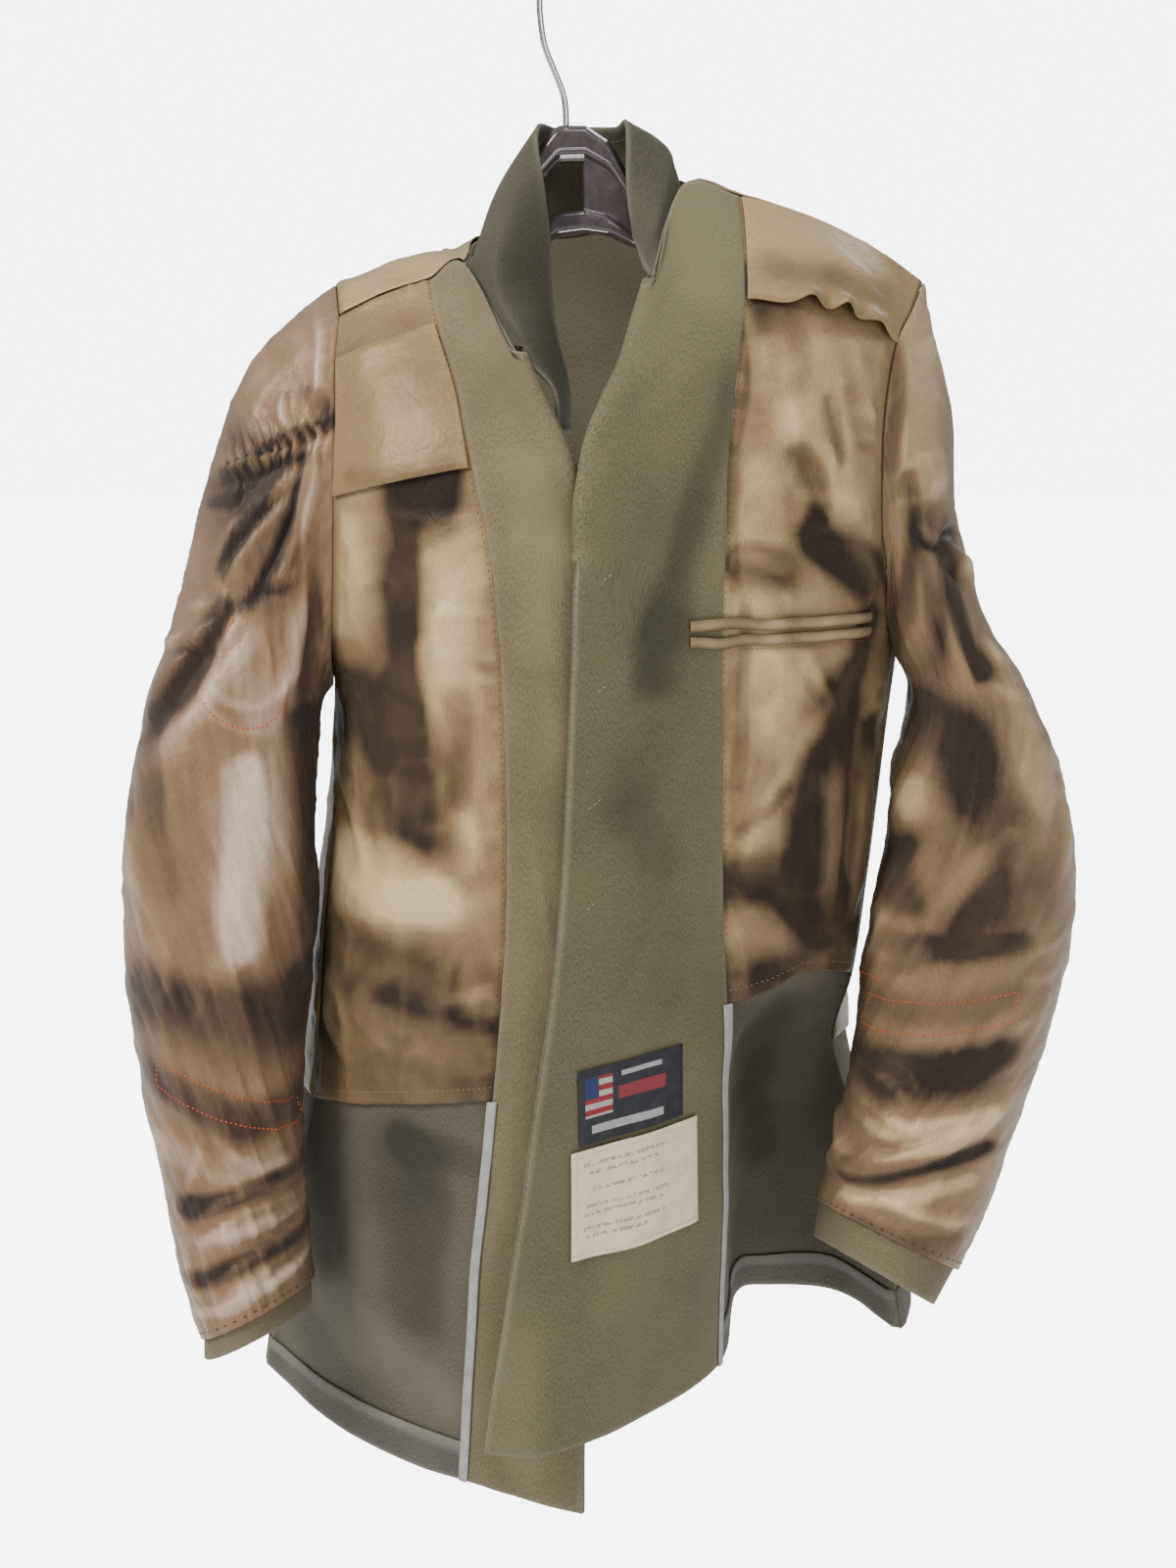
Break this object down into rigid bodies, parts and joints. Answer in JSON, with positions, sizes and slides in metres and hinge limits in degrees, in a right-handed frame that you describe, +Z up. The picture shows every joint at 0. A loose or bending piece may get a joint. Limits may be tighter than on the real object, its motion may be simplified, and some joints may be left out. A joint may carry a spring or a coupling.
{
  "type": "military uniform coat on a hanger",
  "caption": "Long-sleeved service coat turned inside out, lining and seams outward, hanging open at the neck and hem on a hanger with a wire hook.",
  "frame": {"origin": "inside top of the hanger's hook, where a rail touches it", "axes": "+X to the viewer's right, +Y from the front of the coat to its back, +Z up"},
  "size_m": [0.585, 0.3207, 0.9107],
  "materials": {
    "serge": "wool serge",
    "serge_facing": "wool serge",
    "satin": "satin",
    "tape": "ribbed tape",
    "dark_label": "woven",
    "cream_label": "woven",
    "dark_plastic": "gloss",
    "bright_wire": "polished"
  },
  "bodies": {
    "root": {"front_left": "serge", "front_right": "serge", "back": "serge", "hem_left": "serge", "hem_right": "serge", "hem_back": "serge", "cuff_left": "serge", "cuff_right": "serge", "facing_left": "serge_facing", "facing_right": "serge_facing", "collar": "serge_facing", "lining_front_left": "satin", "lining_front_right": "satin", "lining_back": "satin", "shoulder_flap_left": "satin", "shoulder_flap_right": "satin", "sleeve_left": "satin", "sleeve_right": "satin", "welt_upper": "satin", "welt_lower": "satin", "seam_binding_left": "tape", "seam_binding_right": "tape", "label_dark": "dark_label", "label_cream": "cream_label", "hanger_body": "dark_plastic", "hanger_hook": "bright_wire"}
  },
  "joints": []
}
